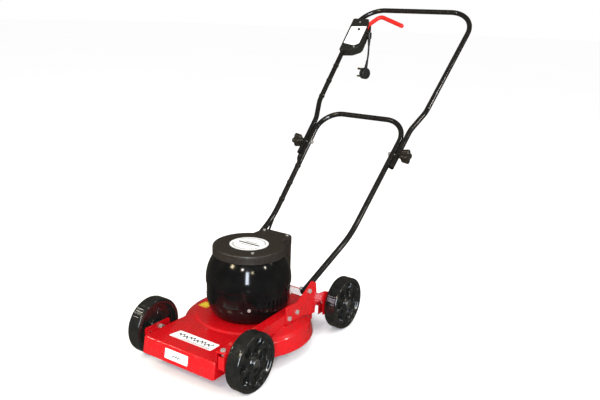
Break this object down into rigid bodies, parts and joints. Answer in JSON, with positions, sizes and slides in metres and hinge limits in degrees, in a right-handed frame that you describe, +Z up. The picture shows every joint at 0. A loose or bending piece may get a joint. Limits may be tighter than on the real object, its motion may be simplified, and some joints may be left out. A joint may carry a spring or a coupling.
{
  "type": "push lawn mower",
  "caption": "Electric rotary push mower: pressed steel deck, barrel motor cowl, plain wheels, bar blade and a folding tube handle with switch box, lever and plug.",
  "frame": {"origin": "on the ground under the middle of the whole mower, handle and all", "axes": "+Y backwards along the mower to the user, +X to the mower's left, +Z up"},
  "size_m": [0.5219, 1.4142, 1.0298],
  "materials": {
    "deck_paint": "gloss red enamel on pressed steel",
    "frame_paint": "gloss red enamel on plate",
    "tube_paint": "gloss black enamel on steel tube",
    "cowl_plastic": "polished black moulding",
    "lid_plastic": "satin brown-black moulding",
    "wheel_plastic": "glossy black moulding",
    "knob_plastic": "glossy black moulding",
    "box_plastic": "semi-gloss black moulding",
    "lever_plastic": "red-orange moulding",
    "button_plastic": "black moulding",
    "label_white": "printed white film",
    "label_yellow": "printed yellow film",
    "zinc": "bright zinc plating",
    "steel": "bare ground steel",
    "blade_steel": "oiled hardened steel, ground edge",
    "cast_metal": "as-cast",
    "lamination": "varnished laminations",
    "copper": "enamelled copper wire",
    "sealed_bearing": "ground ring and black seal",
    "inner_plastic": "moulded",
    "cord_rubber": "black sheath",
    "plug_plastic": "moulded black",
    "brass_pin": "turned brass"
  },
  "bodies": {
    "chassis": {"deck_shell": "deck_paint", "deck_labels": "label_white", "caution_label": "label_yellow", "frame_struts": "frame_paint", "chassis_bolts": "zinc", "axle_bolts": "zinc", "axle_nuts": "zinc", "pivot_bolts": "zinc", "lower_end_shield": "cast_metal", "upper_end_shield": "cast_metal", "stator_core": "lamination", "stator_windings": "copper", "shaft_bearings": "sealed_bearing", "run_capacitor": "cast_metal", "motor_cowl": "cowl_plastic", "cover_screws": "zinc", "motor_lid": "lid_plastic", "lid_badge": "label_white", "rear_duct": "lid_plastic", "cable_gland": "inner_plastic", "motor_lead": "cord_rubber", "side_rail_left": "frame_paint", "front_bracket_left": "frame_paint", "rear_plate_left": "frame_paint", "side_rail_right": "frame_paint", "front_bracket_right": "frame_paint", "rear_plate_right": "frame_paint"},
    "rotor": {"motor_shaft": "steel", "rotor_core": "lamination", "cooling_fan": "inner_plastic", "blade_boss": "cast_metal", "blade": "blade_steel", "blade_bolt": "zinc"},
    "lower_handle": {"lower_handle": "tube_paint", "clamp_bolts": "zinc", "lower_lead_clips": "inner_plastic", "handle_lead": "cord_rubber"},
    "upper_handle": {"upper_handle": "tube_paint", "upper_lead_clips": "inner_plastic", "switch_lead": "cord_rubber", "switch_box_front": "box_plastic", "switch_box_back": "box_plastic", "switch_label": "label_white", "micro_switch": "inner_plastic", "box_screws": "zinc", "lever_pin": "steel", "lever_spring": "steel", "strain_relief": "cord_rubber", "supply_cord": "cord_rubber", "plug_boot": "cord_rubber", "plug_body": "plug_plastic", "plug_pins": "brass_pin"},
    "lever": {"switch_lever": "lever_plastic"},
    "button": {"switch_button": "button_plastic"},
    "knob_left": {"knob_left": "knob_plastic"},
    "knob_right": {"knob_right": "knob_plastic"},
    "wheel_front_left": {"wheel_front_left": "wheel_plastic"},
    "wheel_front_right": {"wheel_front_right": "wheel_plastic"},
    "wheel_rear_left": {"wheel_rear_left": "wheel_plastic"},
    "wheel_rear_right": {"wheel_rear_right": "wheel_plastic"}
  },
  "joints": [
    {"name": "wheel_front_left_spin", "type": "hinge", "parent": "chassis", "child": "wheel_front_left", "pos_m": [0.1845, -0.61112, 0.085], "axis": [1, 0, 0], "continuous": true},
    {"name": "wheel_front_right_spin", "type": "hinge", "parent": "chassis", "child": "wheel_front_right", "pos_m": [-0.1845, -0.61112, 0.085], "axis": [1, 0, 0], "continuous": true},
    {"name": "wheel_rear_left_spin", "type": "hinge", "parent": "chassis", "child": "wheel_rear_left", "pos_m": [0.1845, -0.11812, 0.085], "axis": [1, 0, 0], "continuous": true},
    {"name": "wheel_rear_right_spin", "type": "hinge", "parent": "chassis", "child": "wheel_rear_right", "pos_m": [-0.1845, -0.11812, 0.085], "axis": [1, 0, 0], "continuous": true},
    {"name": "blade_spin", "type": "hinge", "parent": "chassis", "child": "rotor", "pos_m": [0, -0.38812, 0.052], "axis": [0, 0, 1], "continuous": true},
    {"name": "handle_tilt", "type": "hinge", "parent": "chassis", "child": "lower_handle", "pos_m": [0, -0.29112, 0.177], "axis": [1, 0, 0], "range_deg": [0, 40]},
    {"name": "handle_fold", "type": "hinge", "parent": "lower_handle", "child": "upper_handle", "pos_m": [0, 0.19735, 0.5321], "axis": [1, 0, 0], "range_deg": [0, 145]},
    {"name": "knob_turn_left", "type": "hinge", "parent": "lower_handle", "child": "knob_left", "pos_m": [0.22082, 0.19735, 0.5321], "axis": [1, 0, 0], "continuous": true},
    {"name": "knob_turn_right", "type": "hinge", "parent": "lower_handle", "child": "knob_right", "pos_m": [-0.22082, 0.19735, 0.5321], "axis": [1, 0, 0], "continuous": true},
    {"name": "lever_squeeze", "type": "hinge", "parent": "upper_handle", "child": "lever", "pos_m": [-0.19513, 0.62748, 0.95184], "axis": [0, -0.6984, 0.7157], "range_deg": [0, 24], "stiffness_Nm_per_rad": 0.15, "springref_deg": -20.05},
    {"name": "button_press", "type": "slide", "parent": "upper_handle", "child": "button", "axis": [0, 0.6984, -0.7157], "range_m": [0, 0.003], "stiffness_N_per_m": 400, "springref_m": -0.002}
  ]
}
